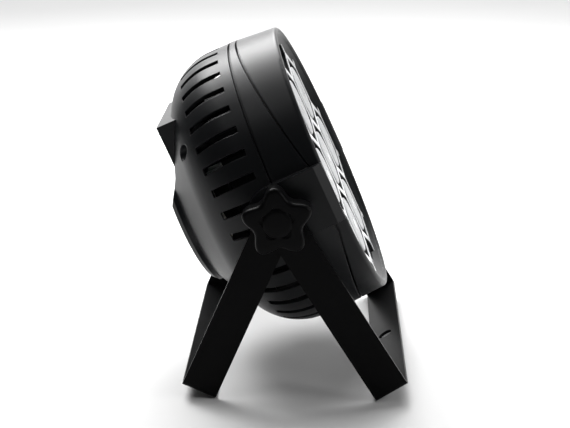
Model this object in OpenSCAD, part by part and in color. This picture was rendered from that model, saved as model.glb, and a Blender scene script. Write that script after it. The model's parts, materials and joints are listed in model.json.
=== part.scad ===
// Slim LED par can: a round plastic lamp head that hangs between two steel yokes.
// The head is built around its own axis: x runs forward along the beam, y along the pivots, z up its face.
// Frame: +Z up, +X forward under the beam, origin on the floor at the centre of the footprint.

/* [Head] */
// Outer diameter at the seam between the casing and the rear shell
seam_d = 236.6; // [234:0.2:238]
// Outer diameter of the bezel at its lip
rim_d = 230; // [229:0.5:231]
// Distance from the seam to the front of the lip
rim_x = 40; // [39:0.5:41]
// Thickness of the moulded walls
wall_t = 3; // [2.6:0.1:3.2]
// Upward tilt of the beam
tilt = 24.2; // [0:0.1:40]
// Number of cooling slots around the rear shell
slot_count = 38; // [24:1:40]
// Width of a cooling slot
slot_w = 6; // [3:0.1:6.4]
// Width of the groove between two mouldings
groove_w = 1.5; // [0.6:0.1:2]

/* [Optics] */
// Distance between the centres of two neighbouring lenses
lens_pitch = 61; // [58:0.5:62]
// Diameter of a lens
lens_d = 47; // [44:0.5:48]
// Width of the ribs between two lens cells
rib_w = 4.5; // [3:0.1:6]
// Diameter of the lens plate
plate_d = 203; // [201:0.5:203.4]

/* [Yokes] */
// Height of the pivots above the floor
pivot_h = 147; // [145:1:170]
// Lean of the front yoke's arms, forward of straight down
front_lean = 32.2; // [25:0.1:40]
// Lean of the rear yoke's arms, rearward of straight down
rear_lean = 23.7; // [20:0.1:30]
// Width of the steel strip
strip_w = 28; // [24:1:32]
// Thickness of the steel strip
strip_t = 2.5; // [2:0.1:3]
// Diameter of the clamp hole in each cross bar
clamp_d = 12; // [8:0.5:13]

/* [Pivots] */
// Distance of the pivots behind the seam
pivot_back = 5; // [0:0.5:6]
// Diameter of the clamping stud
stud_d = 8; // [6:0.5:10]
// Reach of a knob lobe from the knob's centre
knob_reach = 27; // [25:0.5:28]
// Height of the clamping knob
knob_h = 17; // [10:0.5:18]

/* [Controls] */
// Width of the control panel
panel_w = 92; // [90:1:93]
// Height of the control panel
panel_h = 32; // [30:0.5:32]
// Diameter of a menu button
button_d = 8.4; // [6:0.2:9]
// Travel of a menu button
button_travel = 0.6; // [0.3:0.1:0.8]

/* [Hidden] */
$fn = 96;

NEAR = 0.1;
FIT = 0.05;
LOOSE = 0.3;
OVER = 1;
LEFT = 1;
RIGHT = -1;

seam_r = seam_d / 2;
rim_r = rim_d / 2;
lip_r = 3.2;
lip_x = rim_x - lip_r;
throat_r = 102;
throat_x = 33;
throat_t = 0.5;
seam_gap = 1;
spigot_t = 1.5;

// Parting line between bezel and casing: it leans back above and below the pivots.
parting_side_x = 31.5;
parting_top_z = 23;
parting_top_slope = 0.26;
parting_low_z = -31;
parting_low_slope = 0.17;
far = 150;

// Rear shell: a rounded shoulder, a cone and a raised round pod.
shoulder_r = 52;
shoulder_x = -18;
shoulder_c = seam_r - LOOSE - shoulder_r;
cone_angle = 60;
pod_r = 58;
pod_x = -90;
pod_edge = 3.5;

// Slots over the shoulder.
slot_front_x = -9.5;
slot_rear_x = -46;
slot_first = 83;
slot_deep_r = 103.5;

// Hood for the controls on the upper rear.
hood_x = -74;
hood_half_w = 50;
hood_top_z = 87;
hood_low_z = 50;
hood_foot_x = -90;
hood_foot_z = 24;
hood_front_x = -46;

// Posts and wells for the casing screws.
well_angle = 41;
well_ring_r = 98;
well_r = 6;
well_tube_r = 8;
well_floor_x = -40;
post_r = 5;
screw_r = 2;
screw_head_r = 3.8;
screw_head_h = 3;

// D-shaped bosses that carry the pivots.
boss_half_h = 23.5;
boss_y = 121;
boss_bevel_x = 6.5;
boss_bevel_y = 5;
lug_half = 14;
lug_y = 100;
insert_r = 8;
stud_r = stud_d / 2;

// Stack on each pivot, outward from the boss.
spacer_t = 0.9;
inner_arm_y = boss_y + 1;
outer_arm_y = inner_arm_y + strip_t + 0.5;
knob_washer_y = outer_arm_y + strip_t + NEAR;
knob_washer_t = 0.9;
knob_y = knob_washer_y + knob_washer_t;
washer_r = 14;
knob_washer_r = 12;
knob_roof = 2;
slab_bite = 2;
stud_end_y = 103;
bend_r = 4;

rear_len = (pivot_h - strip_w / 2 * sin(rear_lean)) / cos(rear_lean);
front_len = (pivot_h - strip_w / 2 * sin(front_lean)) / cos(front_lean);

// Footprint centre: halfway between the hood's top edge and the front yoke's toe.
toe_x = front_len * sin(front_lean) + strip_w / 2 * cos(front_lean);
hood_edge_x = (hood_x + pivot_back) * cos(tilt) - hood_top_z * sin(tilt);
pivot_x = -(toe_x + hood_edge_x) / 2;

// Optics.
plate_x = 30.5;
plate_t = 2;
plate_r = plate_d / 2;
ledge_x = 26;
ledge_t = 2;
ledge_r = 92;
rib_top_x = 36;
lens_fit = 0.2;
lens_top_x = 36.4;
lens_eye_r = 5.3;
lens_eye_deep = 1.2;
lens_foot_r = 7;
lens_foot_x = 12.4;
plate_screw_ring = 96.5;
plate_screw_count = 6;
plate_screw_head_r = 2.8;
plate_screw_head_h = 1.4;

board_x = 8.4;
board_t = 1.6;
board_r = 90;
chip_w = 9;
chip_t = 1.8;
sink_base_t = 5;
sink_r = 92;
fin_t = 2;
fin_pitch = 13;
fin_count = 13;
fin_rear_x = -34;

power_board_x = -41.6;
power_board_w = 108;
power_board_low_z = -22;
power_board_h = 56;
standoff_y = 45.5;
standoff_low_z = -15;
standoff_high_z = 28;
standoff_r = 3;

// Control panel, on the hood's rear face.
panel_z = 68;
panel_t = 1.5;
panel_frame = 4;
window_w = 40;
window_h = 16;
window_y = 22;
window_t = 1.2;
button_y = -6.5;
button_pitch = 9.8;
button_proud = 0.9;
button_out = button_proud + button_travel;
button_len = 6;
control_board_x = -68.2;
control_board_w = 88;
control_board_h = 26;
panel_screw_y = 42.5;
panel_screw_z = 12.5;
panel_screw_r = 1.2;
panel_screw_head_r = 2.2;
panel_screw_head_h = 1.2;

// Connectors, in two columns on the pod.
connector_plate_r = 53.5;
connector_plate_t = 1.5;
connector_plate_top_z = 22.8;
column_y = 17;
row_high_z = 6;
row_low_z = -22;
flange_w = 31;
flange_h = 27;
flange_t = 2;
body_in = 22;
data_ring_r = 9.6;
data_body_r = 12;
data_pin_ring = 4.6;
data_pin_r = 1.1;
data_pin_len = 8;
data_deep = 16;
power_w = 24.4;
power_h = 16.6;
power_wall = 1.3;
power_deep = 17;
blade_w = 4;
blade_t = 2;
blade_len = 8;
blade_pitch = 7;
latch_w = 7;
latch_h = 2.6;
latch_len = 5;
latch_z = 11.2;
latch_out = 1.5;
fuse_z = -43;
fuse_plug_r = 4.5;
fuse_holder_r = 5.8;
fuse_cap_r = 5.7;
fuse_cap_h = 4.5;
fuse_holder_len = 26;

black = [0.07, 0.07, 0.075];
satin_black = [0.1, 0.1, 0.11];
white = [0.9, 0.9, 0.9];
clear = [0.8, 0.86, 0.9];
steel = [0.7, 0.7, 0.72];
green = [0.08, 0.3, 0.16];

// Outer radius of the casing at a distance x in front of the seam.
function casing_r(x) = seam_r - (seam_r - rim_r) * x / lip_x;

// A place at a distance r from the beam's axis, and an angle a from the top of the face.
function face_at(r, a) = [0, r * sin(a), r * cos(a)];
// The place of lens i of the ring of six.
function lens_at(i) = face_at(lens_pitch, 30 + 60 * i);
lens_places = concat([[0, 0, 0]], [for (i = [0:5]) lens_at(i)]);
// The cells that the plate's edge cuts through.
edge_places = [for (i = [0:5]) for (p = [face_at(sqrt(3) * lens_pitch, 60 * i), 2 * lens_at(i)]) p];

module head() {
    translate([pivot_x, 0, pivot_h]) rotate([0, -tilt, 0]) translate([pivot_back, 0, 0]) children();
}

// On the pivot axis, in the head's own frame.
module at_pivot() {
    translate([-pivot_back, 0, 0]) children();
}

module around_beam() {
    rotate([0, 90, 0]) rotate_extrude() children();
}

// A disc or plug along the beam, from x0 to x1.
module rod_x(x0, x1, r) {
    translate([x0, 0, 0]) rotate([0, 90, 0]) cylinder(h = x1 - x0, r = r);
}

// A disc or pin along the pivot axis on one side, from y0 to y1.
module rod_y(side, y0, y1, r) {
    translate([0, side * y0, 0]) rotate([-90 * side, 0, 0]) cylinder(h = y1 - y0, r = r);
}

module block(low, high) {
    translate(low) cube(high - low);
}

// A ring along the pivot axis on one side.
module washer(side, y0, y1, r, bore) {
    difference() {
        rod_y(side, y0, y1, r);
        rod_y(side, y0 - OVER, y1 + OVER, bore);
    }
}

// A tapering ring of the casing, in_r and out_r below its outer surface.
module casing_ring(x0, x1, out_in, in_in) {
    around_beam() polygon([[casing_r(x0) - in_in, x0], [casing_r(x0) - out_in, x0],
        [casing_r(x1) - out_in, x1], [casing_r(x1) - in_in, x1]]);
}

// Everything in front of the parting line, moved forward by shift.
module bezel_side(shift) {
    low_x = parting_side_x - parting_low_slope * (far + parting_low_z);
    top_x = parting_side_x - parting_top_slope * (far - parting_top_z);
    translate([shift, far, 0]) rotate([90, 0, 0]) linear_extrude(2 * far)
        polygon([[far, -far], [low_x, -far], [parting_side_x, parting_low_z],
            [parting_side_x, parting_top_z], [top_x, far], [far, far]]);
}

module front_bezel() {
    ring_in_r = 109.5;
    ring_out_r = 112;
    flare_r = 109;
    flare_root_x = 31;
    color(satin_black) head() difference() {
        union() {
            intersection() {
                casing_ring(2, lip_x, 0, wall_t);
                bezel_side(0);
            }
            intersection() {
                casing_ring(2, lip_x, wall_t + NEAR, wall_t + NEAR + spigot_t);
                bezel_side(-2 * groove_w);
            }
            intersection() {
                casing_ring(2, lip_x, wall_t - NEAR, wall_t + spigot_t);
                bezel_side(NEAR);
            }
            around_beam() translate([rim_r - lip_r, lip_x]) circle(lip_r);
            around_beam() polygon([[throat_r, throat_x], [flare_r, lip_x + 1], [ring_out_r, lip_x],
                [ring_out_r, flare_root_x], [ring_in_r, flare_root_x], [throat_r, throat_x - throat_t]]);
            around_beam() translate([ring_in_r, ledge_x]) square([ring_out_r - ring_in_r, lip_x - ledge_x]);
            around_beam() translate([ledge_r, ledge_x]) square([ring_out_r - ledge_r, ledge_t]);
        }
        plate_screw_ring(ledge_x - OVER, plate_x, screw_r);
    }
}

// One side's boss in front of the seam: a slab on the casing, with a bevelled front end.
module boss_slab(side) {
    rise = boss_y - boss_bevel_y;
    mirror([0, side > 0 ? 0 : 1, 0]) difference() {
        translate([0, 0, -boss_half_h]) linear_extrude(2 * boss_half_h)
            polygon([[NEAR, lug_y], [NEAR, boss_y], [rim_x - boss_bevel_x, boss_y],
                [rim_x, rise], [rim_x, lug_y]]);
        around_beam() polygon([[0, -OVER], [casing_r(0) - slab_bite, -OVER],
            [casing_r(lip_x) - slab_bite, lip_x], [0, lip_x]]);
        intersection() {
            rod_x(0, rim_x + OVER, casing_r(parting_side_x) + 0.5);
            bezel_side(-groove_w);
        }
    }
}

// The thick lug behind a boss that holds half of the pivot insert.
module lug(side, x0, x1) {
    y0 = side > 0 ? lug_y : -casing_r(0) + OVER;
    block([x0, y0, -lug_half], [x1, y0 + casing_r(0) - OVER - lug_y, lug_half]);
}

module insert_bores() {
    for (side = [LEFT, RIGHT]) at_pivot() rod_y(side, lug_y - OVER, boss_y + OVER, insert_r);
}

// The four casing screws' places.
module at_wells() {
    for (a = [well_angle, 180 - well_angle, -well_angle, well_angle - 180])
        rotate([-a, 0, 0]) translate([0, -well_ring_r, 0]) children();
}

module mid_casing() {
    post_end_x = 25;
    screw_end_x = 20;
    rib_t = 3;
    rib_reach = 16.5;
    rib_low_x = 4;
    rib_high_x = 13;
    color(satin_black) head() difference() {
        union() {
            difference() {
                casing_ring(seam_gap, lip_x, 0, wall_t);
                bezel_side(-groove_w);
            }
            for (side = [LEFT, RIGHT]) {
                boss_slab(side);
                lug(side, NEAR, lug_half - pivot_back);
            }
            at_wells() rod_x(NEAR, post_end_x, post_r);
            at_wells() block([rib_low_x, -rib_reach, -rib_t / 2], [rib_high_x, 0, rib_t / 2]);
        }
        insert_bores();
        at_wells() rod_x(-OVER, screw_end_x, screw_r);
    }
}

// The rear shell's outline in radius and x, moved inward by inset.
module shell_outline(inset) {
    r = shoulder_r - inset;
    normal = [cos(cone_angle), -sin(cone_angle)];
    slope = [-sin(cone_angle), -cos(cone_angle)];
    tangent = [shoulder_c, shoulder_x] + r * normal;
    pod_top_r = pod_r - inset;
    cone_end = tangent + slope * (tangent[0] - pod_top_r) / sin(cone_angle);
    pod_top_x = pod_x + inset;
    union() {
        translate([0, shoulder_x]) square([shoulder_c + r, -shoulder_x - seam_gap]);
        intersection() {
            translate([shoulder_c, shoulder_x]) circle(r);
            translate([shoulder_c, shoulder_x - r]) square([r, r]);
        }
        polygon([[0, shoulder_x], [shoulder_c, shoulder_x], tangent, cone_end,
            [pod_top_r, pod_top_x + pod_edge], [pod_top_r - pod_edge, pod_top_x], [0, pod_top_x]]);
    }
}

// Everything behind the hood's face, moved inward by grow.
module hood_pocket(grow) {
    half = hood_half_w + grow;
    translate([0, half, 0]) rotate([90, 0, 0]) linear_extrude(2 * half)
        polygon([[hood_x + grow, far], [hood_x + grow, hood_low_z - grow / 2],
            [hood_foot_x + grow, hood_foot_z - grow / 2], [-far, hood_foot_z - grow], [-far, far]]);
}

// One cooling slot with square ends, cut through the shoulder's wall.
module slot() {
    depth = 30;
    block([slot_rear_x, -slot_deep_r - depth, -slot_w / 2], [slot_front_x, -slot_deep_r, slot_w / 2]);
}

module slots() {
    for (i = [0:slot_count - 1]) rotate([i * 360 / slot_count - slot_first, 0, 0]) slot();
}

module shell_skin() {
    difference() {
        union() {
            around_beam() shell_outline(0);
            block([hood_x, -hood_half_w, hood_low_z], [hood_front_x, hood_half_w, hood_top_z]);
        }
        difference() {
            union() {
                around_beam() shell_outline(wall_t);
                block([hood_x + wall_t, wall_t - hood_half_w, hood_low_z + wall_t],
                    [hood_front_x + OVER, hood_half_w - wall_t, hood_top_z - wall_t]);
            }
            hood_pocket(wall_t);
            at_wells() rod_x(-far, well_floor_x + wall_t, well_tube_r);
            at_wells() rod_x(-far, -NEAR, post_r);
        }
        hood_pocket(0);
        slots();
    }
}

// One side's boss behind the seam, with a round end about the pivot.
module shell_boss(side) {
    mirror([0, side > 0 ? 0 : 1, 0]) difference() {
        union() {
            at_pivot() rod_y(LEFT, lug_y, boss_y, boss_half_h);
            block([-pivot_back, lug_y, -boss_half_h], [-NEAR, boss_y, boss_half_h]);
        }
        around_beam() translate([0, -far]) square([casing_r(0) - slab_bite, 2 * far]);
        block([-NEAR, -far, -far], [far, far, far]);
    }
}

module rear_shell() {
    spigot_x = 3;
    spigot_r = casing_r(spigot_x) - wall_t - NEAR;
    spigot_root_x = -6;
    color(satin_black) head() difference() {
        union() {
            shell_skin();
            for (side = [LEFT, RIGHT]) {
                shell_boss(side);
                lug(side, -lug_half - pivot_back, -NEAR);
            }
            difference() {
                around_beam() translate([spigot_r - spigot_t, spigot_root_x])
                    square([spigot_t, spigot_x - spigot_root_x]);
                block([-NEAR, -far, -lug_half - 2], [far, far, lug_half + 2]);
            }
            around_beam() translate([spigot_r - spigot_t, spigot_root_x])
                square([wall_t, -spigot_root_x - seam_gap]);
        }
        insert_bores();
        at_wells() rod_x(-far, well_floor_x, well_r);
        at_wells() rod_x(-far, OVER, screw_r + 0.2);
        panel_seat();
        connector_seat();
    }
}

// Recess and opening for the control panel.
module panel_seat() {
    half_w = panel_w / 2;
    half_h = panel_h / 2;
    block([hood_x - OVER, -half_w - NEAR, panel_z - half_h - NEAR],
        [hood_x + panel_t, half_w + NEAR, panel_z + half_h + NEAR]);
    block([hood_x - OVER, panel_frame - half_w, panel_z - half_h + panel_frame],
        [hood_x + 2 * wall_t, half_w - panel_frame, panel_z + half_h - panel_frame]);
    at_panel_screws() rod_x(hood_x, hood_x + 2 * wall_t, panel_screw_r + NEAR);
}

// Recess and opening for the connector plate.
module connector_seat() {
    rim = 4;
    intersection() {
        rod_x(pod_x - OVER, pod_x + connector_plate_t, connector_plate_r + NEAR);
        block([-far, -far, -far], [far, far, connector_plate_top_z + NEAR]);
    }
    intersection() {
        rod_x(pod_x - OVER, pod_x + 2 * wall_t, connector_plate_r - rim);
        block([-far, -far, -far], [far, far, connector_plate_top_z - rim]);
    }
}

module plate_screw_ring(x0, x1, r) {
    for (i = [0:plate_screw_count - 1]) rotate([i * 360 / plate_screw_count, 0, 0])
        translate([0, 0, plate_screw_ring]) rod_x(x0, x1, r);
}

// The plate: a disc with a honeycomb of ribs on its face, one cell for each lens.
module lens_plate() {
    face_x = plate_x + plate_t;
    cell_r = (lens_pitch - rib_w) / sqrt(3);
    hole_r = lens_d / 2 + lens_fit;
    color(white) head() difference() {
        union() {
            rod_x(plate_x, face_x, plate_r);
            rod_x(face_x - NEAR, rib_top_x, plate_r);
        }
        for (place = concat(lens_places, edge_places)) translate([face_x, 0, 0] + place)
            rotate([0, 90, 0]) cylinder(h = far, r = cell_r, $fn = 6);
        for (place = lens_places) translate(place) rod_x(plate_x - OVER, far, hole_r);
        plate_screw_ring(plate_x - OVER, far, screw_r);
    }
}

module bezel_gasket() {
    color(black) head() difference() {
        rod_x(ledge_x + ledge_t, plate_x, plate_r);
        rod_x(ledge_x, plate_x + OVER, ledge_r + 0.5);
        plate_screw_ring(ledge_x, plate_x + OVER, screw_r);
    }
}

// A lens: a round cap in its cell, over a cone that reaches back to its chip.
module lens(place) {
    edge = 0.8;
    cone_end = 2;
    cap_r = lens_d / 2;
    color(clear) head() translate(place) around_beam() polygon([[0, lens_foot_x], [lens_foot_r, lens_foot_x],
        [cap_r - cone_end, plate_x - cone_end], [cap_r, plate_x],
        [cap_r, lens_top_x - edge], [cap_r - edge, lens_top_x],
        [lens_eye_r, lens_top_x], [lens_eye_r, lens_top_x - lens_eye_deep], [0, lens_top_x - lens_eye_deep]]);
}

module lens_centre() { lens([0, 0, 0]); }
module lens_1() { lens(lens_at(0)); }
module lens_2() { lens(lens_at(1)); }
module lens_3() { lens(lens_at(2)); }
module lens_4() { lens(lens_at(3)); }
module lens_5() { lens(lens_at(4)); }
module lens_6() { lens(lens_at(5)); }

module led_board() {
    color(white) head() rod_x(board_x, board_x + board_t, board_r);
}

module led_chips() {
    color("gold") head() for (place = lens_places) translate(place)
        block([board_x + board_t, -chip_w / 2, -chip_w / 2],
            [board_x + board_t + chip_t, chip_w / 2, chip_w / 2]);
}

module heat_sink() {
    base_x = board_x - sink_base_t;
    half_run = fin_pitch * (fin_count - 1) / 2;
    color(black) head() {
        rod_x(base_x, board_x, sink_r);
        intersection() {
            rod_x(fin_rear_x, base_x, sink_r);
            for (y = [-half_run:fin_pitch:half_run])
                block([fin_rear_x, y - fin_t / 2, -sink_r], [base_x, y + fin_t / 2, sink_r]);
        }
    }
}

module at_standoffs() {
    for (y = [-standoff_y, standoff_y], z = [standoff_low_z, standoff_high_z])
        translate([0, y, z]) children();
}

module board_standoffs() {
    color("gold") head() at_standoffs() rod_x(power_board_x + board_t, board_x - sink_base_t, standoff_r);
}

// Power supply: a board with its transformer, capacitors and choke on the rear side.
module power_board() {
    half = power_board_w / 2;
    top_z = power_board_low_z + power_board_h;
    coil_h = 16;
    coil_w = 26;
    coil_y = 27;
    coil_z = 9;
    coil_len = 30;
    can_h = 18;
    can_r = 7;
    can_z = 24;
    can_places = [-12, 4];
    choke_h = 12;
    choke_w = 12;
    choke_y = -28;
    choke_z = 22;
    choke_len = 20;
    color(green) head() {
        block([power_board_x, -half, power_board_low_z], [power_board_x + board_t, half, top_z]);
        block([power_board_x - coil_h, coil_y - coil_w / 2, coil_z - coil_len / 2],
            [power_board_x, coil_y + coil_w / 2, coil_z + coil_len / 2]);
        for (y = can_places) translate([0, y, can_z]) rod_x(power_board_x - can_h, power_board_x, can_r);
        block([power_board_x - choke_h, choke_y - choke_w / 2, choke_z - choke_len / 2],
            [power_board_x, choke_y + choke_w / 2, choke_z + choke_len / 2]);
    }
}

module control_board() {
    half_w = control_board_w / 2;
    half_h = control_board_h / 2;
    chip_half = 6;
    color(green) head() {
        block([control_board_x, -half_w, panel_z - half_h],
            [control_board_x + board_t, half_w, panel_z + half_h]);
        block([hood_x + panel_t + NEAR, window_y - window_w / 2, panel_z - window_h / 2],
            [control_board_x, window_y + window_w / 2, panel_z + window_h / 2]);
        block([control_board_x + board_t, -chip_half, panel_z - chip_half],
            [control_board_x + 2 * board_t, chip_half, panel_z + chip_half]);
    }
}

module at_buttons() {
    for (i = [0:3]) translate([0, button_y - i * button_pitch, panel_z]) children();
}

module at_panel_screws() {
    for (y = [-panel_screw_y, panel_screw_y], z = [-panel_screw_z, panel_screw_z])
        translate([0, y, panel_z + z]) children();
}

module control_panel() {
    color(black) head() difference() {
        block([hood_x, -panel_w / 2, panel_z - panel_h / 2],
            [hood_x + panel_t, panel_w / 2, panel_z + panel_h / 2]);
        block([hood_x - OVER, window_y - window_w / 2, panel_z - window_h / 2],
            [hood_x + panel_t + OVER, window_y + window_w / 2, panel_z + window_h / 2]);
        at_buttons() rod_x(hood_x - OVER, hood_x + panel_t + OVER, button_d / 2 + LOOSE);
        at_panel_screws() rod_x(hood_x - OVER, hood_x + panel_t + OVER, panel_screw_r);
    }
}

module display_window() {
    color("darkred") head() block([hood_x, window_y - window_w / 2 + NEAR, panel_z - window_h / 2 + NEAR],
        [hood_x + window_t, window_y + window_w / 2 - NEAR, panel_z + window_h / 2 - NEAR]);
}

module menu_button(i) {
    color("dimgray") head() translate([0, button_y - i * button_pitch, panel_z])
        rod_x(hood_x - button_out, hood_x - button_out + button_len, button_d / 2);
}

module button_menu() { menu_button(0); }
module button_down() { menu_button(1); }
module button_up() { menu_button(2); }
module button_enter() { menu_button(3); }

module connector_plate() {
    color(black) head() difference() {
        intersection() {
            rod_x(pod_x, pod_x + connector_plate_t, connector_plate_r);
            block([-far, -far, -far], [far, far, connector_plate_top_z]);
        }
        for (z = [row_high_z, row_low_z]) {
            translate([0, column_y, z]) rod_x(pod_x - OVER, 0, data_body_r + NEAR);
            translate([0, -column_y, z]) power_block(pod_x - OVER, 0, NEAR);
        }
        translate([0, 0, fuse_z]) rod_x(pod_x - OVER, 0, fuse_holder_r + NEAR);
        translate([0, column_y, row_low_z]) latch_block(LOOSE);
    }
}

module flange(y, z) {
    block([pod_x - flange_t, y - flange_w / 2, z - flange_h / 2],
        [pod_x, y + flange_w / 2, z + flange_h / 2]);
}

// The body of a power connector, grown by margin, in its own centre.
module power_block(x0, x1, margin) {
    half_w = power_w / 2 + power_wall + margin;
    half_h = power_h / 2 + power_wall + margin;
    block([x0, -half_w, -half_h], [x1, half_w, half_h]);
}

module at_blades() {
    translate([0, 0, 2.5]) children();
    for (side = [LEFT, RIGHT]) translate([0, side * blade_pitch, -2]) children();
}

// A mains inlet: a rectangular socket with three blades.
module power_inlet() {
    floor_x = pod_x - flange_t + power_deep;
    color(black) head() difference() {
        union() {
            flange(-column_y, row_high_z);
            translate([0, -column_y, row_high_z]) power_block(pod_x - NEAR, pod_x + body_in, 0);
        }
        translate([0, -column_y, row_high_z]) difference() {
            block([pod_x - flange_t - OVER, -power_w / 2, -power_h / 2], [floor_x, power_w / 2, power_h / 2]);
            at_blades() block([floor_x - blade_len, -blade_t / 2, -blade_w / 2],
                [floor_x + OVER, blade_t / 2, blade_w / 2]);
        }
    }
}

// A mains outlet: a solid face with three narrow slots.
module power_outlet() {
    color(black) head() difference() {
        union() {
            flange(-column_y, row_low_z);
            translate([0, -column_y, row_low_z]) power_block(pod_x - NEAR, pod_x + body_in, 0);
        }
        translate([0, -column_y, row_low_z]) at_blades()
            block([pod_x - flange_t - OVER, -blade_t / 2 - NEAR, -blade_w / 2 - OVER],
                [pod_x + power_deep, blade_t / 2 + NEAR, blade_w / 2 + OVER]);
    }
}

module at_data_pins() {
    for (a = [0, 120, 240]) rotate([a, 0, 0]) translate([0, 0, -data_pin_ring]) children();
}

// A three-pin data inlet: a round cup with three pins.
module data_inlet() {
    floor_x = pod_x - flange_t + data_deep;
    color("silver") head() translate([0, column_y, row_high_z]) difference() {
        union() {
            translate([0, -column_y, -row_high_z]) flange(column_y, row_high_z);
            rod_x(pod_x - NEAR, pod_x + body_in, data_body_r);
        }
        difference() {
            rod_x(pod_x - flange_t - OVER, floor_x, data_ring_r);
            at_data_pins() rod_x(floor_x - data_pin_len, floor_x + OVER, data_pin_r);
        }
    }
}

module latch_block(margin) {
    block([pod_x - flange_t - OVER, -latch_w / 2 - margin, latch_z - latch_h / 2 - margin],
        [pod_x - flange_t + latch_len + 2, latch_w / 2 + margin, latch_z + latch_h / 2 + margin]);
}

// A three-pin data outlet: an insert with three holes inside a ring-shaped gap.
module data_outlet() {
    insert_face_r = 7.6;
    color("silver") head() translate([0, column_y, row_low_z]) difference() {
        union() {
            translate([0, -column_y, -row_low_z]) flange(column_y, row_low_z);
            rod_x(pod_x - NEAR, pod_x + body_in, data_body_r);
        }
        difference() {
            rod_x(pod_x - flange_t - OVER, pod_x + data_deep, data_ring_r);
            rod_x(pod_x - flange_t, far, insert_face_r);
        }
        at_data_pins() rod_x(pod_x - flange_t - OVER, pod_x + data_deep, data_pin_r + NEAR);
        latch_block(LOOSE);
    }
}

module data_latch() {
    color("silver") head() translate([0, column_y, row_low_z + latch_z])
        block([pod_x - flange_t - latch_out, -latch_w / 2, -latch_h / 2],
            [pod_x - flange_t + latch_len - OVER, latch_w / 2, latch_h / 2]);
}

module fuse_holder() {
    floor_t = 3;
    color(black) head() translate([0, 0, fuse_z]) difference() {
        rod_x(pod_x, pod_x + fuse_holder_len, fuse_holder_r);
        rod_x(pod_x - OVER, pod_x + fuse_holder_len - floor_t, fuse_plug_r + FIT);
    }
}

module fuse_cap() {
    slot_half = 0.7;
    plug_len = 12;
    color(black) head() translate([0, 0, fuse_z]) difference() {
        union() {
            rod_x(pod_x - fuse_cap_h, pod_x - LOOSE, fuse_cap_r);
            rod_x(pod_x - OVER, pod_x + plug_len, fuse_plug_r);
        }
        block([pod_x - fuse_cap_h - OVER, -far, -slot_half], [pod_x - fuse_cap_h + OVER, far, slot_half]);
    }
}

// A screw that is driven in from the rear, with its head's front face at x.
module rear_screw(x, len, r, head_r, head_h) {
    drive_r = head_r * 0.5;
    difference() {
        union() {
            rod_x(x - head_h, x, head_r);
            rod_x(x - NEAR, x + len, r);
        }
        translate([x - head_h - OVER, 0, 0]) rotate([0, 90, 0])
            cylinder(h = OVER + head_h / 2, r = drive_r, $fn = 6);
    }
}

module casing_screws() {
    len = 55;
    color(steel) head() at_wells() rear_screw(well_floor_x, len, screw_r, screw_head_r, screw_head_h);
}

module plate_screws() {
    head_x = plate_x + plate_t;
    color(steel) head() {
        plate_screw_ring(head_x, head_x + plate_screw_head_h, plate_screw_head_r);
        plate_screw_ring(ledge_x, head_x + NEAR, screw_r);
    }
}

module panel_screws() {
    len = 4;
    color(steel) head() at_panel_screws()
        rear_screw(hood_x, len, panel_screw_r, panel_screw_head_r, panel_screw_head_h);
}

// Threaded bush that is trapped between the casing and the rear shell.
module pivot_insert(side) {
    color("goldenrod") head() at_pivot() washer(side, lug_y, boss_y, insert_r, stud_r + FIT);
}

module left_pivot_insert() { pivot_insert(LEFT); }
module right_pivot_insert() { pivot_insert(RIGHT); }

module spacer_washer(side) {
    color("ivory") head() at_pivot() washer(side, boss_y, boss_y + spacer_t, washer_r, stud_r + LOOSE);
}

module left_spacer_washer() { spacer_washer(LEFT); }
module right_spacer_washer() { spacer_washer(RIGHT); }

// A yoke: a strip bent to a U whose arms start at arm_y, with a cross bar len below the pivots.
module yoke(arm_y, len) {
    outer_y = arm_y + strip_t;
    color(black) difference() {
        union() {
            translate([strip_w / 2, 0, 0]) rotate([0, -90, 0]) linear_extrude(strip_w) difference() {
                union() {
                    translate([-len + bend_r, -outer_y]) square([len - bend_r, 2 * outer_y]);
                    translate([-len, bend_r - outer_y]) square([len, 2 * (outer_y - bend_r)]);
                    for (side = [LEFT, RIGHT]) translate([-len + bend_r, side * (outer_y - bend_r)])
                        circle(bend_r, $fn = 32);
                }
                union() {
                    translate([-len + bend_r, -arm_y]) square([len, 2 * arm_y]);
                    translate([-len + strip_t, bend_r - outer_y]) square([len, 2 * (outer_y - bend_r)]);
                    for (side = [LEFT, RIGHT]) translate([-len + bend_r, side * (outer_y - bend_r)])
                        circle(bend_r - strip_t, $fn = 32);
                }
            }
            for (side = [LEFT, RIGHT]) rod_y(side, arm_y, outer_y, strip_w / 2);
        }
        for (side = [LEFT, RIGHT]) rod_y(side, arm_y - OVER, outer_y + OVER, stud_r + FIT);
        translate([0, 0, -len - OVER]) cylinder(h = strip_t + 2 * OVER, d = clamp_d);
    }
}

module front_yoke() {
    translate([pivot_x, 0, pivot_h]) rotate([0, -front_lean, 0]) yoke(outer_arm_y, front_len);
}

module rear_yoke() {
    translate([pivot_x, 0, pivot_h]) rotate([0, rear_lean, 0]) yoke(inner_arm_y, rear_len);
}

module friction_washer(side) {
    color("ivory") head() at_pivot()
        washer(side, inner_arm_y + strip_t + NEAR, outer_arm_y, washer_r, stud_r + LOOSE);
}

module left_friction_washer() { friction_washer(LEFT); }
module right_friction_washer() { friction_washer(RIGHT); }

// Five-lobed clamping knob with a round hub.
module knob(side) {
    lobe_r = 8;
    lobe_count = 5;
    hub_r = 20.5;
    color(black) head() at_pivot() mirror([0, side > 0 ? 0 : 1, 0]) difference() {
        union() {
            for (i = [0:lobe_count - 1]) rotate([0, i * 360 / lobe_count, 0])
                translate([knob_reach - lobe_r, 0, 0]) rod_y(LEFT, knob_y, knob_y + knob_h, lobe_r);
            rod_y(LEFT, knob_y, knob_y + knob_h, hub_r);
        }
        rod_y(LEFT, knob_y - OVER, knob_y + knob_h - knob_roof, stud_r);
    }
}

module left_knob() { knob(LEFT); }
module right_knob() { knob(RIGHT); }

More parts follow.
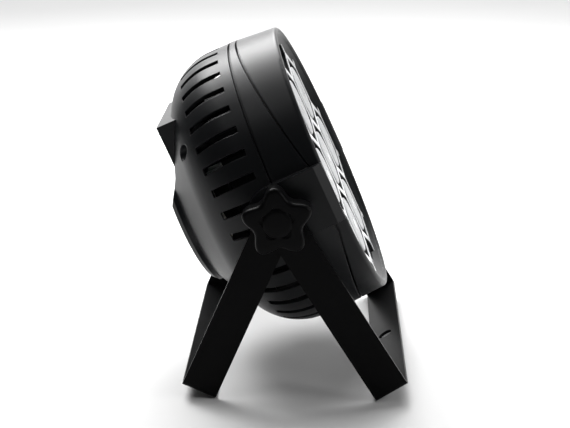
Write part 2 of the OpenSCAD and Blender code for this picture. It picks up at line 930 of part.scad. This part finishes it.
module stud(side) {
    color(steel) head() at_pivot() rod_y(side, stud_end_y, knob_y + knob_h - knob_roof, stud_r);
}

module left_stud() { stud(LEFT); }
module right_stud() { stud(RIGHT); }

module knob_washer(side) {
    color(steel) head() at_pivot() washer(side, knob_washer_y, knob_y, knob_washer_r, stud_r);
}

module left_knob_washer() { knob_washer(LEFT); }
module right_knob_washer() { knob_washer(RIGHT); }

front_bezel();
mid_casing();
rear_shell();
lens_plate();
bezel_gasket();
lens_centre();
lens_1();
lens_2();
lens_3();
lens_4();
lens_5();
lens_6();
led_board();
led_chips();
heat_sink();
power_board();
board_standoffs();
control_board();
control_panel();
display_window();
button_menu();
button_down();
button_up();
button_enter();
connector_plate();
power_inlet();
power_outlet();
data_inlet();
data_outlet();
data_latch();
fuse_holder();
fuse_cap();
casing_screws();
plate_screws();
panel_screws();
left_pivot_insert();
right_pivot_insert();
left_spacer_washer();
right_spacer_washer();
rear_yoke();
front_yoke();
left_friction_washer();
right_friction_washer();
left_knob();
right_knob();
left_stud();
right_stud();
left_knob_washer();
right_knob_washer();
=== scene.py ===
"""Looks of the par can light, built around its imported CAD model."""
import json
import math

import bmesh
import bpy
from mathutils import Matrix, Vector


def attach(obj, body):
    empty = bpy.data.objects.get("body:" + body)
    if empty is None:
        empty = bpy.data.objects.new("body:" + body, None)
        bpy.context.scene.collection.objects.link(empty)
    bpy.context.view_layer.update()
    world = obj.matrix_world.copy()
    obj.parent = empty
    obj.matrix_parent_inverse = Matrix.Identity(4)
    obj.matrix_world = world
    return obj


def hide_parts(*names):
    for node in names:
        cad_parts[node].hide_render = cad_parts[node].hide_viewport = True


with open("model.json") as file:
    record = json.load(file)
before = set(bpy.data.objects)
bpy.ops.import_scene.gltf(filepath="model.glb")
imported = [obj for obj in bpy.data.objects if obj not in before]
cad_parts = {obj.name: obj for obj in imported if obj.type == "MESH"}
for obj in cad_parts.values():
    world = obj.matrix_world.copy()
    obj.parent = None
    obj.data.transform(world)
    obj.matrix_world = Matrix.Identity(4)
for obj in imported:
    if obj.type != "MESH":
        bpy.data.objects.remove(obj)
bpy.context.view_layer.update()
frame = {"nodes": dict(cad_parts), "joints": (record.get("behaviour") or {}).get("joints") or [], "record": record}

MM = 0.001
SIDES = {"left": 1, "right": -1}


# ---------------------------------------------------------------- places, from the record

def joint(name):
    return next(j for j in frame["joints"] if j["name"] == name)


PIVOT = Vector(joint("front_yoke_swing")["pos_m"])
BEAM = Vector(joint("menu_press")["axis"]).normalized()
ACROSS = Vector((0, 1, 0))
FACE_UP = BEAM.cross(ACROSS).normalized()
SEAM_AHEAD = 5
SEAM = PIVOT + SEAM_AHEAD * MM * BEAM


def placed(x_axis, y_axis, z_axis, origin):
    """The matrix of a frame with these axes and this origin."""
    rows = [(x_axis[i], y_axis[i], z_axis[i], origin[i]) for i in range(3)]
    return Matrix(rows + [(0, 0, 0, 1)])


HEAD = placed(BEAM, ACROSS, FACE_UP, SEAM)
TO_HEAD = HEAD.inverted()


def head_box(node):
    """Lowest corner, highest corner and middle of a CAD node, in millimetres in the head's own frame.

    The head's x runs along the beam, its y across from pivot to pivot, and its z up the face.
    """
    points = [TO_HEAD @ v.co / MM for v in frame["nodes"][node].data.vertices]
    low = Vector([min(p[i] for p in points) for i in range(3)])
    high = Vector([max(p[i] for p in points) for i in range(3)])
    return low, high, (low + high) / 2


# ---------------------------------------------------------------- camera

def add_camera():
    """The photograph's view: from the light's right side, a little above it."""
    azimuth, elevation = math.radians(1.6), math.radians(15.5)
    shift_right, shift_up, distance = 0.003, 0.033, 1.249
    back = Vector((math.sin(azimuth) * math.cos(elevation), -math.cos(azimuth) * math.cos(elevation),
                   math.sin(elevation)))
    right = Vector((math.cos(azimuth), math.sin(azimuth), 0))
    up = back.cross(right)
    data = bpy.data.cameras.new("camera")
    data.sensor_width = 36
    data.lens = 95.4
    camera = bpy.data.objects.new("camera", data)
    camera.matrix_world = placed(right, up, back, SEAM - shift_right * right - shift_up * up + distance * back)
    bpy.context.scene.collection.objects.link(camera)
    bpy.context.scene.camera = camera


add_camera()


# ---------------------------------------------------------------- materials

class Shader:
    """A Principled material with a few short ways to add nodes to it."""

    def __init__(self, name, **values):
        self.material = bpy.data.materials.new(name)
        self.material.use_nodes = True
        self.tree = self.material.node_tree
        self.surface = self.tree.nodes["Principled BSDF"]
        for socket, value in values.items():
            self.surface.inputs[socket.replace("_", " ")].default_value = value
        self.coords = self.add("ShaderNodeTexCoord").outputs["Object"]

    def add(self, kind, links=(), **settings):
        """A node whose inputs are sources or plain values."""
        node = self.tree.nodes.new(kind)
        for key, value in settings.items():
            setattr(node, key, value)
        for socket, source in dict(links).items():
            if isinstance(source, bpy.types.NodeSocket):
                self.tree.links.new(source, node.inputs[socket])
            else:
                node.inputs[socket].default_value = source
        return node

    def noise(self, scale, detail=2.0, rough=0.5):
        links = {"Vector": self.coords, "Scale": scale, "Detail": detail, "Roughness": rough}
        return self.add("ShaderNodeTexNoise", links).outputs["Fac"]

    def grain(self, size_mm, detail=2.0):
        """Noise whose features are about size_mm across."""
        return self.noise(1 / (size_mm * MM), detail)

    def cells(self, scale):
        return self.add("ShaderNodeTexVoronoi", {"Vector": self.coords, "Scale": scale}).outputs["Distance"]

    def ramp(self, source, low, high):
        """A source from 0 to 1 becomes a value from low to high."""
        return self.add("ShaderNodeMapRange", {"Value": source, "To Min": low, "To Max": high}).outputs["Result"]

    def depth(self, start_mm, end_mm):
        """0 behind start_mm and 1 in front of end_mm, both along the beam from the seam."""
        along = self.add("ShaderNodeVectorMath", {0: self.coords, 1: BEAM}, operation="DOT_PRODUCT")
        origin = SEAM.dot(BEAM)
        links = {"Value": along.outputs["Value"], "From Min": origin + start_mm * MM,
                 "From Max": origin + end_mm * MM}
        return self.add("ShaderNodeMapRange", links).outputs["Result"]

    def mix(self, factor, first, second):
        """Two colours, each plain or a source, mixed by a factor source."""
        node = self.add("ShaderNodeMix", {"Factor": factor}, data_type="RGBA")
        for socket, source in (("A", first), ("B", second)):
            if isinstance(source, bpy.types.NodeSocket):
                self.tree.links.new(source, node.inputs[socket])
            else:
                node.inputs[socket].default_value = (*source, 1)
        return node.outputs["Result"]

    def set(self, socket, source):
        self.tree.links.new(source, self.surface.inputs[socket])

    def bump(self, height, depth_mm, strength=0.5, rounding_mm=0.0):
        """Relief from a 0 to 1 height, on edges that are rounded by rounding_mm."""
        links = {"Height": height, "Distance": depth_mm * MM, "Strength": strength}
        if rounding_mm:
            rounding = self.add("ShaderNodeBevel", {"Radius": rounding_mm * MM}, samples=4)
            links["Normal"] = rounding.outputs["Normal"]
        self.set("Normal", self.add("ShaderNodeBump", links).outputs["Normal"])


def grey(value):
    return (value, value, value)


def moulded_plastic(name, dark, light, roughness, grain_mm=0.35, depth_mm=0.04, rounding_mm=0.6, **values):
    """Moulded plastic: fine spark grain, faint flow marks and slightly uneven gloss."""
    shader = Shader(name, **values)
    grain = shader.grain(grain_mm, 3)
    flow = shader.noise(14, 3, 0.6)
    shader.set("Base Color", shader.mix(flow, dark, light))
    shader.set("Roughness", shader.ramp(flow, roughness - 0.05, roughness + 0.07))
    shader.bump(grain, depth_mm, 0.6, rounding_mm)
    return shader.material


def powder_coat(name, dark, light, roughness, peel_mm=1.1, **values):
    """Baked powder coat on steel: orange peel and slight gloss changes."""
    shader = Shader(name, **values)
    peel = shader.grain(peel_mm)
    patches = shader.noise(22, 4, 0.6)
    shader.set("Base Color", shader.mix(patches, dark, light))
    shader.set("Roughness", shader.ramp(patches, roughness - 0.06, roughness + 0.08))
    shader.bump(peel, 0.06, 0.35, 0.5)
    return shader.material


def metal(name, colour, roughness):
    """Bare or plated metal with fine tooling marks."""
    shader = Shader(name, Metallic=1.0)
    marks = shader.noise(900, 4, 0.7)
    darker = [0.82 * c for c in colour]
    shader.set("Base Color", shader.mix(marks, darker, colour))
    shader.set("Roughness", shader.ramp(marks, roughness - 0.05, roughness + 0.12))
    shader.bump(marks, 0.02, 0.4, 0.2)
    return shader.material


def honeycomb(name):
    """White lacquered ribs; down in the cells, behind 35.2 mm along the beam, the colour turns near-black: painted
    shade on the cell walls and floors.
    """
    shader = Shader(name, Roughness=0.3, Coat_Weight=0.3)
    lacquer = shader.mix(shader.noise(40, 3, 0.6), (0.6, 0.61, 0.62), (0.74, 0.75, 0.76))
    # Painted shade: near-black behind 35.2 mm along the beam, rising to the lacquer by 35.9 mm.
    shader.set("Base Color", shader.mix(shader.depth(35.2, 35.9), (0.006, 0.006, 0.007), lacquer))
    shader.bump(shader.grain(0.8), 0.05, 0.3, 0.7)
    return shader.material


def frosted_lens(name):
    """Frosted acrylic: a pebbled face over a milky body; down in its cell it turns near-black, which is painted
    shade.
    """
    shader = Shader(name, Roughness=0.36, IOR=1.49, Coat_Weight=0.3, Coat_Roughness=0.2)
    pebbles = shader.cells(520)
    milky = shader.mix(shader.noise(60, 3), (0.19, 0.197, 0.207), (0.28, 0.287, 0.297))
    bright = shader.mix(pebbles, (0.27, 0.277, 0.287), (0.4, 0.407, 0.417))
    face = shader.mix(shader.noise(140), milky, bright)
    # Painted shade: the lens goes near-black behind 34.6 mm along the beam, down in its cell.
    shader.set("Base Color", shader.mix(shader.depth(34.6, 35.6), (0.02, 0.02, 0.021), face))
    shader.bump(pebbles, 0.4, 0.75, 0.3)
    return shader.material


def dark_eye(name):
    """The tinted dimple in front of a lens's LED."""
    shader = Shader(name, Roughness=0.12, Coat_Weight=0.5)
    shader.set("Base Color", shader.mix(shader.cells(900), (0.004, 0.004, 0.005), (0.012, 0.011, 0.01)))
    shader.bump(shader.noise(700), 0.05, 0.3)
    return shader.material


def circuit(name):
    """Near-black solder mask with faint copper tracks under it; black is a real mask colour, but it is kept this
    dark so the board seen through the housing's slots passes for the shade inside: partly painted shade.
    """
    shader = Shader(name, Roughness=0.35)
    tracks = shader.add("ShaderNodeTexBrick", {
        "Vector": shader.coords, "Scale": 160.0, "Mortar Size": 0.03, "Color1": (0.004, 0.009, 0.006, 1),
        "Color2": (0.006, 0.012, 0.008, 1), "Mortar": (0.012, 0.022, 0.015, 1)})
    # Partly painted shade: the near-black mask stands in for the shade inside the housing.
    shader.set("Base Color", tracks.outputs["Color"])
    shader.bump(shader.noise(300), 0.05, 0.3)
    return shader.material


HOUSING_BLACK = (0.0045, 0.0048, 0.0055), (0.009, 0.0097, 0.011)
PANEL_BLACK = (0.005, 0.005, 0.0055), (0.01, 0.01, 0.011)
DEEP_BLACK = (0.002, 0.002, 0.0022), (0.005, 0.005, 0.0053)
SOFT_BLACK = grey(0.006), grey(0.012)

MATERIALS = {
    "housing": moulded_plastic("housing", *HOUSING_BLACK, 0.36, rounding_mm=0.9, Specular_IOR_Level=0.18),
    "plate": honeycomb("plate"),
    "seal": moulded_plastic("seal", *SOFT_BLACK, 0.7),
    "lens": frosted_lens("lens"),
    "led_board": moulded_plastic("led_board", grey(0.7), grey(0.8), 0.4),
    "led": moulded_plastic("led", (0.8, 0.6, 0.1), (0.9, 0.72, 0.2), 0.3),
    "aluminium": metal("aluminium", (0.012, 0.012, 0.013), 0.45),
    "circuit_board": circuit("circuit_board"),
    "brass": metal("brass", (0.7, 0.5, 0.2), 0.3),
    "panel": powder_coat("panel", *PANEL_BLACK, 0.45, 0.7, Specular_IOR_Level=0.35),
    "display": moulded_plastic("display", (0.03, 0.002, 0.003), (0.05, 0.004, 0.006), 0.12, depth_mm=0.004,
                               Coat_Weight=0.6),
    "button": moulded_plastic("button", (0.03, 0.03, 0.032), (0.05, 0.05, 0.052), 0.4),
    "connector_plastic": moulded_plastic("connector_plastic", *SOFT_BLACK, 0.5, rounding_mm=0.4),
    "connector_metal": metal("connector_metal", (0.5, 0.49, 0.47), 0.25),
    "fastener": metal("fastener", (0.42, 0.42, 0.44), 0.28),
    "yoke": powder_coat("yoke", *DEEP_BLACK, 0.34, Specular_IOR_Level=0.04),
    "knob": moulded_plastic("knob", *DEEP_BLACK, 0.34, 0.5, 0.05, Specular_IOR_Level=0.05),
    "nylon": moulded_plastic("nylon", grey(0.012), grey(0.02), 0.45),
}
EYE = dark_eye("lens_eye")
SYMBOL = moulded_plastic("symbol", (0.4, 0.4, 0.41), (0.5, 0.5, 0.51), 0.5, depth_mm=0.01)
DIGIT = moulded_plastic("digit", (0.1, 0.008, 0.01), (0.13, 0.012, 0.015), 0.3, depth_mm=0.004)
LABEL = moulded_plastic("label", (0.3, 0.3, 0.31), (0.38, 0.38, 0.39), 0.35, depth_mm=0.01)


def dress_cad():
    """Every CAD node takes the material of its slot in the record."""
    for part in frame["record"]["subparts"]:
        node = frame["nodes"][part["node"]]
        node.data.materials.clear()
        node.data.materials.append(MATERIALS[part["material_slot"]])


dress_cad()


# ---------------------------------------------------------------- pieces

SHARP = math.radians(32)
PRINT_OUT, PRINT_IN = 0.12, 0.05


def add_piece(name, mesh_in_mm, materials, body, replaced=()):
    """A finished piece from a bmesh in millimetres in the head's frame."""
    bmesh.ops.recalc_face_normals(mesh_in_mm, faces=mesh_in_mm.faces)
    for face in mesh_in_mm.faces:
        face.smooth = True
    mesh = bpy.data.meshes.new(name)
    mesh_in_mm.to_mesh(mesh)
    mesh_in_mm.free()
    mesh.transform(HEAD @ Matrix.Scale(MM, 4))
    mesh.set_sharp_from_angle(angle=SHARP)
    for material in materials:
        mesh.materials.append(material)
    piece = bpy.data.objects.new(name, mesh)
    bpy.context.scene.collection.objects.link(piece)
    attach(piece, body)
    if replaced:
        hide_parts(*replaced)


def turn(steps):
    """The angles of one whole turn in even steps."""
    return [2 * math.pi * i / steps for i in range(steps)]


def quarter(steps):
    """The angles from nothing to a right angle in even steps, with both ends."""
    return [math.pi / 2 * i / steps for i in range(steps + 1)]


def add_rings(target, places, material=0):
    """A closed skin over a list of rings, each a list of points in turn."""
    rings = [[target.verts.new(p) for p in ring] for ring in places]
    count = len(rings[0])
    for first, second in zip(rings, rings[1:]):
        for i in range(count):
            j = (i + 1) % count
            target.faces.new((first[i], first[j], second[j], second[i])).material_index = material
    for end in (rings[0], rings[-1]):
        target.faces.new(end).material_index = material


def turned(target, outline, centre, steps=64, material=0):
    """A solid turned about the beam's direction, from an outline of (radius, x)."""
    add_rings(target, [[(x, centre[1] + radius * math.cos(a), centre[2] + radius * math.sin(a))
                        for a in turn(steps)] for radius, x in outline], material)


def rounded(outer, edge_x, radius):
    """Outline points round an outer edge: from the side to the rear, or to the front if radius is negative."""
    size = abs(radius)
    return [(outer - size + size * math.cos(a), edge_x + radius * (1 - math.sin(a))) for a in quarter(5)]


def slab(target, corners, low_x, high_x, material=0):
    """A flat shape on a plane across the beam: corners are (y, z)."""
    add_rings(target, [[(x, y, z) for y, z in corners] for x in (low_x, high_x)], material)


def bar(y, z, width, height):
    """The corners of an upright rectangle about (y, z)."""
    return [(y - width / 2, z - height / 2), (y + width / 2, z - height / 2),
            (y + width / 2, z + height / 2), (y - width / 2, z + height / 2)]


# ---------------------------------------------------------------- lenses

def add_lens(node):
    """A frosted lens with a rounded edge, a slight crown and a dark dimple over its LED."""
    low, high, centre = head_box(node)
    cap_r = (high.y - low.y) / 2
    foot, top = low.x, high.x
    foot_r, skirt, chamfer, crown, sink = 7, 8, 2, 0.5, 0.02
    eye_r, eye_floor, eye_gap, eye_lip = 5.2, 1.1, 0.1, 0.5
    body = [(foot_r, foot), (cap_r - chamfer, top - skirt), (cap_r, top - skirt + chamfer)]
    body += rounded(cap_r, top - crown, -1.4)
    body += [(r, top - crown * ((r - eye_r) / cap_r) ** 2 - sink)
             for r in (cap_r - 4, cap_r - 8, cap_r - 12, eye_r + 1.4)]
    body += [(eye_r + eye_lip, top - eye_gap), (eye_r, top - eye_lip)]
    target = bmesh.new()
    turned(target, body, centre)
    turned(target, [(eye_r + eye_gap, top - eye_floor), (eye_r + eye_gap, top - 2 * sink), (eye_r - 0.4, top),
                    (1.5, top - sink)], centre, 40, 1)
    add_piece(node + "_optic", target, [MATERIALS["lens"], EYE], "head", [node])


for lens_node in ["lens_centre"] + [f"lens_{i}" for i in range(1, 7)]:
    add_lens(lens_node)


# ---------------------------------------------------------------- knobs

LOBES = 5
LOBE_ROOT = 19.2


def star(angle, reach):
    """Radius of a smooth lobed outline, from its root up to its reach."""
    wave = 0.5 + 0.5 * math.cos(LOBES * angle)
    return LOBE_ROOT + (reach - LOBE_ROOT) * wave ** 1.2


def add_knob(name, side):
    """A moulded lobed knob: rounded rims, a dished face and a raised cap over the stud.

    Each layer has its place along the pivot, how much of it is lobed, and its inset (or its radius where round).
    """
    low, high, _ = head_box(name)
    near, out = sorted((abs(low.y), abs(high.y)))
    rim, rim_drop = 3.2, 0.6
    layers = [(near, 1, 1.2), (near + 0.6, 1, 0.3), (near + 1.6, 1, 0)]
    layers += [(out - rim_drop - rim + rim * math.sin(a), 1, rim * (1 - math.cos(a))) for a in quarter(6)]
    layers += [(out - 0.9, 0.5, 8), (out - 1.6, 0, 13.5), (out - 1.8, 0, 11.2), (out - rim_drop, 0, 10.6),
               (out - 0.15, 0, 9.8), (out, 0, 8.4), (out, 0, 0.8)]
    rings = []
    for along, lobed, size in layers:
        ring = []
        for angle in turn(120):
            radius = lobed * (star(angle, high.x + SEAM_AHEAD) - size) + (1 - lobed) * size
            ring.append((radius * math.cos(angle) - SEAM_AHEAD, side * along, radius * math.sin(angle)))
        rings.append(ring)
    target = bmesh.new()
    add_rings(target, rings)
    add_piece(name + "_grip", target, [MATERIALS["knob"]], name, [name])


for side_name, side_sign in SIDES.items():
    add_knob(side_name + "_knob", side_sign)


# ---------------------------------------------------------------- buttons, symbols and display

LINE, HALF = 0.5, 1.7
SYMBOL_RISE = 8.5
SYMBOLS = {
    "button_menu": [bar(0, row, 2 * HALF, LINE) for row in (-1.3, 0, 1.3)],
    "button_down": [[(-HALF, HALF), (0, -HALF), (HALF, HALF)]],
    "button_up": [[(-HALF, -HALF), (HALF, -HALF), (0, HALF)]],
    "button_enter": [bar(1.5, 0.4, LINE, 2.2), bar(0.3, -0.7, 2.4, LINE), [(-0.7, 0.5), (-0.7, -1.9), (-2, -0.7)]],
}


def add_button(node):
    """A round menu button with a rounded edge and a dished top."""
    low, high, centre = head_box(node)
    radius, rear = (high.y - low.y) / 2, low.x
    dish = [(radius - 1.2, rear + 0.05), (radius - 1.9, rear + 0.2), (radius - 3, rear + 0.32), (0.4, rear + 0.36)]
    target = bmesh.new()
    turned(target, [(radius, high.x)] + rounded(radius, rear, 0.7) + dish, centre, 48)
    add_piece(node + "_cap", target, [MATERIALS["button"]], node, [node])


def add_symbols():
    """A generic mark printed on the panel above each button."""
    face = head_box("control_panel")[0].x
    target = bmesh.new()
    for node, shapes in SYMBOLS.items():
        centre = head_box(node)[2]
        for corners in shapes:
            slab(target, [(centre.y + y, centre.z + SYMBOL_RISE + z) for y, z in corners],
                 face - PRINT_OUT, face + PRINT_IN)
    add_piece("panel_symbols", target, [SYMBOL], "head")


def add_digits():
    """Four unlit seven-segment digits, each with its point, on the display window's face."""
    low, _, centre = head_box("display_window")
    width, height, line, gap, point_gap, pitch, lean = 4.6, 9, 0.9, 1.3, 1.5, 8, 0.12
    target = bmesh.new()
    for place in (-1.5, -0.5, 0.5, 1.5):
        middle, z0 = centre.y + place * pitch, centre.z
        segments = [bar(middle, z0 + row * height / 2, width - gap, line) for row in (-1, 0, 1)]
        segments += [bar(middle + column * width / 2, z0 + row * height / 4, line, height / 2 - 1.2)
                     for column in (-1, 1) for row in (-1, 1)]
        segments.append(bar(middle - width / 2 - point_gap, z0 - height / 2, line, line))
        for corners in segments:
            slab(target, [(y - lean * (z - z0), z) for y, z in corners], low.x - PRINT_OUT / 2, low.x + PRINT_IN)
    add_piece("display_digits", target, [DIGIT], "head")


for button_node in SYMBOLS:
    add_button(button_node)
add_symbols()
add_digits()


# ---------------------------------------------------------------- connectors

def add_cross_screw(target, place, radius):
    """A domed screw head which faces the rear; its cross recess is a near-black slab, painted shade in place of a
    cut recess.
    """
    x, y, z = place
    turned(target, [(radius, x + 0.1), (radius, x - 0.3), (radius * 0.86, x - 0.8), (radius * 0.5, x - 1.05),
                    (0.2, x - 1.1)], place, 28)
    length, width = 2 * radius * 0.62, 2 * radius * 0.13
    # Painted shade: the cross is a near-black slab, not a cut.
    for size_y, size_z in ((length, width), (width, length)):
        slab(target, bar(y, z, size_y, size_z), x - 1.16, x - 0.7, 1)


def add_flange_screws():
    """Two screws in opposite corners of each connector's flange."""
    target = bmesh.new()
    inset, screw_r = 2.5, 1.8
    for node in ("power_inlet", "power_outlet", "data_inlet", "data_outlet"):
        low, high, _ = head_box(node)
        for y, z in ((low.y + inset, high.z - inset), (high.y - inset, low.z + inset)):
            add_cross_screw(target, (low.x, y, z), screw_r)
    # The second material, the lens eye's near-black, paints the shade in the cross recesses.
    add_piece("flange_screws", target, [MATERIALS["fastener"], EYE], "head")


def add_contacts():
    """Brass tips on the data inlet's three pins."""
    low, _, centre = head_box("data_inlet")
    root, circle_r, pin_r = low.x + 16, 4.6, 1.16
    target = bmesh.new()
    for degrees in (-90, 30, 150):
        angle = math.radians(degrees)
        place = (0, centre.y + circle_r * math.cos(angle), centre.z + circle_r * math.sin(angle))
        turned(target, [(pin_r, root - 0.1), (pin_r, root - 7.2), (0.9, root - 8.0), (0.3, root - 8.25)], place, 20)
    add_piece("data_pin_tips", target, [MATERIALS["brass"]], "head")


def add_rating_plate():
    """A blank foil rating label beside the connectors."""
    face = head_box("connector_plate")[0].x
    y, z, half_w, half_h, corner = 42, -6, 6.5, 15, 1.2
    outline = []
    for side_y, side_z, start in ((1, 1, 0), (-1, 1, 90), (-1, -1, 180), (1, -1, 270)):
        for angle in (math.radians(start + step) for step in range(0, 91, 30)):
            outline.append((y + side_y * (half_w - corner) + corner * math.cos(angle),
                            z + side_z * (half_h - corner) + corner * math.sin(angle)))
    target = bmesh.new()
    slab(target, outline, face - PRINT_OUT, face + PRINT_IN)
    add_piece("rating_plate", target, [LABEL], "head")


add_flange_screws()
add_contacts()
add_rating_plate()


# ---------------------------------------------------------------- stage

def add_stage():
    """A plain pale floor."""
    mesh = bpy.data.meshes.new("floor")
    reach = 6.0
    corners = [(-reach, -reach, 0), (reach, -reach, 0), (reach, reach, 0), (-reach, reach, 0)]
    mesh.from_pydata(corners, [], [(0, 1, 2, 3)])
    floor = bpy.data.objects.new("floor", mesh)
    bpy.context.scene.collection.objects.link(floor)
    shader = Shader("floor", Roughness=0.9)
    shader.set("Base Color", shader.mix(shader.noise(3), grey(0.6), grey(0.64)))
    mesh.materials.append(shader.material)


def add_light(name, place, size, power, aim=PIVOT):
    """A soft rectangular light, aimed at the pivot unless something else is given."""
    data = bpy.data.lights.new(name, "AREA")
    data.shape = "RECTANGLE"
    data.size, data.size_y = size
    data.energy = power
    light = bpy.data.objects.new(name, data)
    light.location = place
    light.rotation_euler = (aim - Vector(place)).to_track_quat("-Z", "Y").to_euler()
    bpy.context.scene.collection.objects.link(light)


def add_lights():
    """A bright backdrop and soft light from above and behind, with little from the camera's side."""
    add_light("backdrop", (0, 3.3, 1.1), (5.5, 2.4), 80, Vector((0, 0, 1.0)))
    add_light("overhead", (-0.2, 1.0, 1.8), (2.2, 1.6), 60, Vector((0, 0.5, 0)))
    add_light("front", SEAM + 1.4 * Vector((0.875, -0.25, 0.39)), (0.8, 0.8), 7.5)
    add_light("back", (-0.35, 0.95, 1.15), (1.1, 0.6), 31)
    add_light("key", (-0.5, -0.5, 1.5), (0.5, 0.5), 2)
    world = bpy.data.worlds.new("studio")
    world.use_nodes = True
    background = world.node_tree.nodes["Background"].inputs
    background["Color"].default_value = (1, 1, 1, 1)
    background["Strength"].default_value = 0.03
    bpy.context.scene.world = world
    bpy.context.scene.view_settings.view_transform = "Standard"


add_stage()
add_lights()
